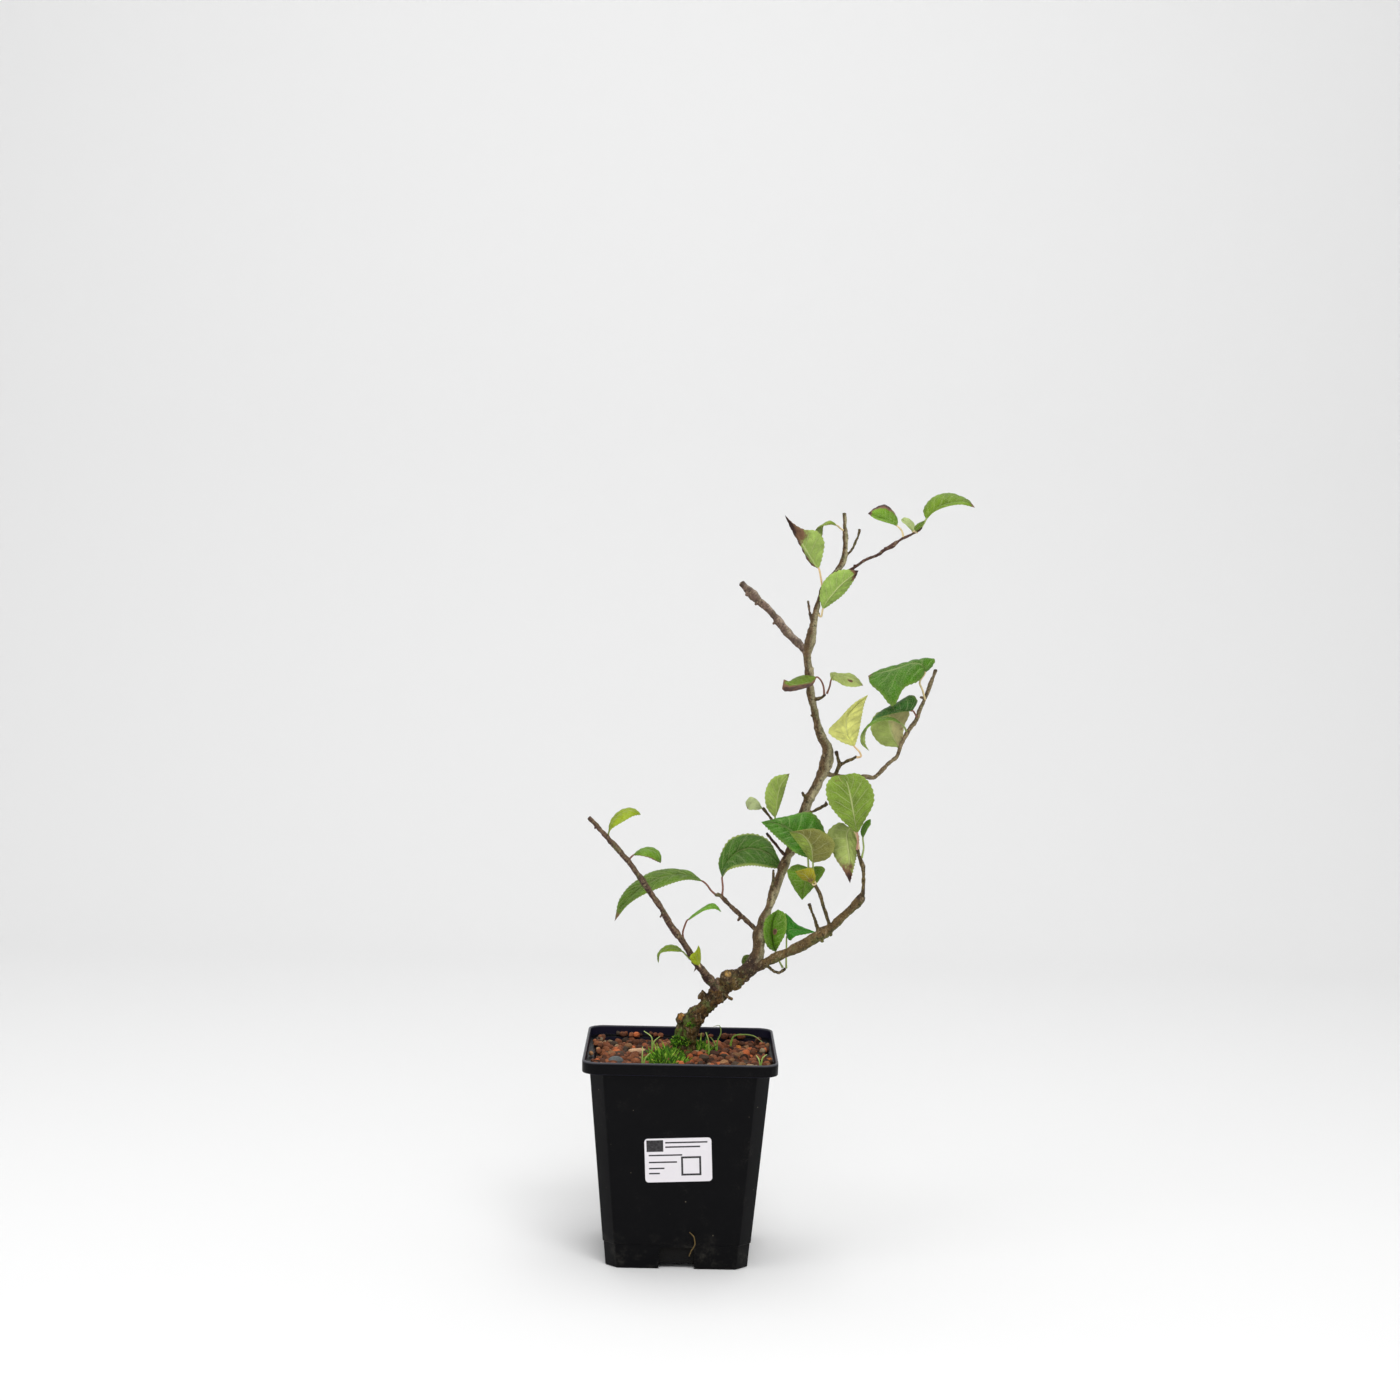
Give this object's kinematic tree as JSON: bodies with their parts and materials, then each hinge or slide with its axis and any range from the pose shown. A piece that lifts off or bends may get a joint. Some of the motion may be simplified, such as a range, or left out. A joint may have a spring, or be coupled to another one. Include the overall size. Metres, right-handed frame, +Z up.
{
  "type": "japanese winterberry bonsai",
  "caption": "Young leafy bonsai with a leaning, forking trunk, growing in a square black plastic nursery pot with soil, moss and a blank label.",
  "frame": {"origin": "middle of the pot's underside, on the surface that it stands on", "axes": "+Z up, -Y towards the front with the label, +X to the right of that front, where the crown leans"},
  "size_m": [0.2136, 0.11, 0.441],
  "materials": {
    "pot_plastic": "satin black with fine dust",
    "label_paper": "smooth coated paper",
    "soil_grains": "rough baked clay grains",
    "dry_wood": "dry and bare",
    "moss": "soft tufts",
    "grass": "thin young blades",
    "pebble_stone": "worn and matt",
    "bark": "rough bark with lichen",
    "leaf": "satin leaf with raised veins"
  },
  "bodies": {
    "root": {"pot": "pot_plastic", "label": "label_paper", "soil": "soil_grains", "dry_root": "dry_wood", "moss_left": "moss", "moss_right": "moss", "grass_left": "grass", "grass_front": "grass", "grass_right": "grass", "grass_centre": "grass", "grass_arc": "grass", "grass_corner": "grass", "pebble": "pebble_stone", "bark_chip_long": "dry_wood", "bark_chip_short": "dry_wood", "wood": "bark", "leaf_01": "leaf", "leaf_02": "leaf", "leaf_03": "leaf", "leaf_04": "leaf", "leaf_05": "leaf", "leaf_06": "leaf", "leaf_07": "leaf", "leaf_08": "leaf", "leaf_09": "leaf", "leaf_10": "leaf", "leaf_11": "leaf", "leaf_12": "leaf", "leaf_13": "leaf", "leaf_14": "leaf", "leaf_15": "leaf", "leaf_16": "leaf", "leaf_17": "leaf", "leaf_18": "leaf", "leaf_19": "leaf", "leaf_20": "leaf", "leaf_21": "leaf", "leaf_22": "leaf", "leaf_23": "leaf", "leaf_24": "leaf", "leaf_25": "leaf", "leaf_26": "leaf", "leaf_27": "leaf", "leaf_28": "leaf", "leaf_29": "leaf", "leaf_30": "leaf", "leaf_31": "leaf", "leaf_32": "leaf", "leaf_33": "leaf"}
  },
  "joints": []
}
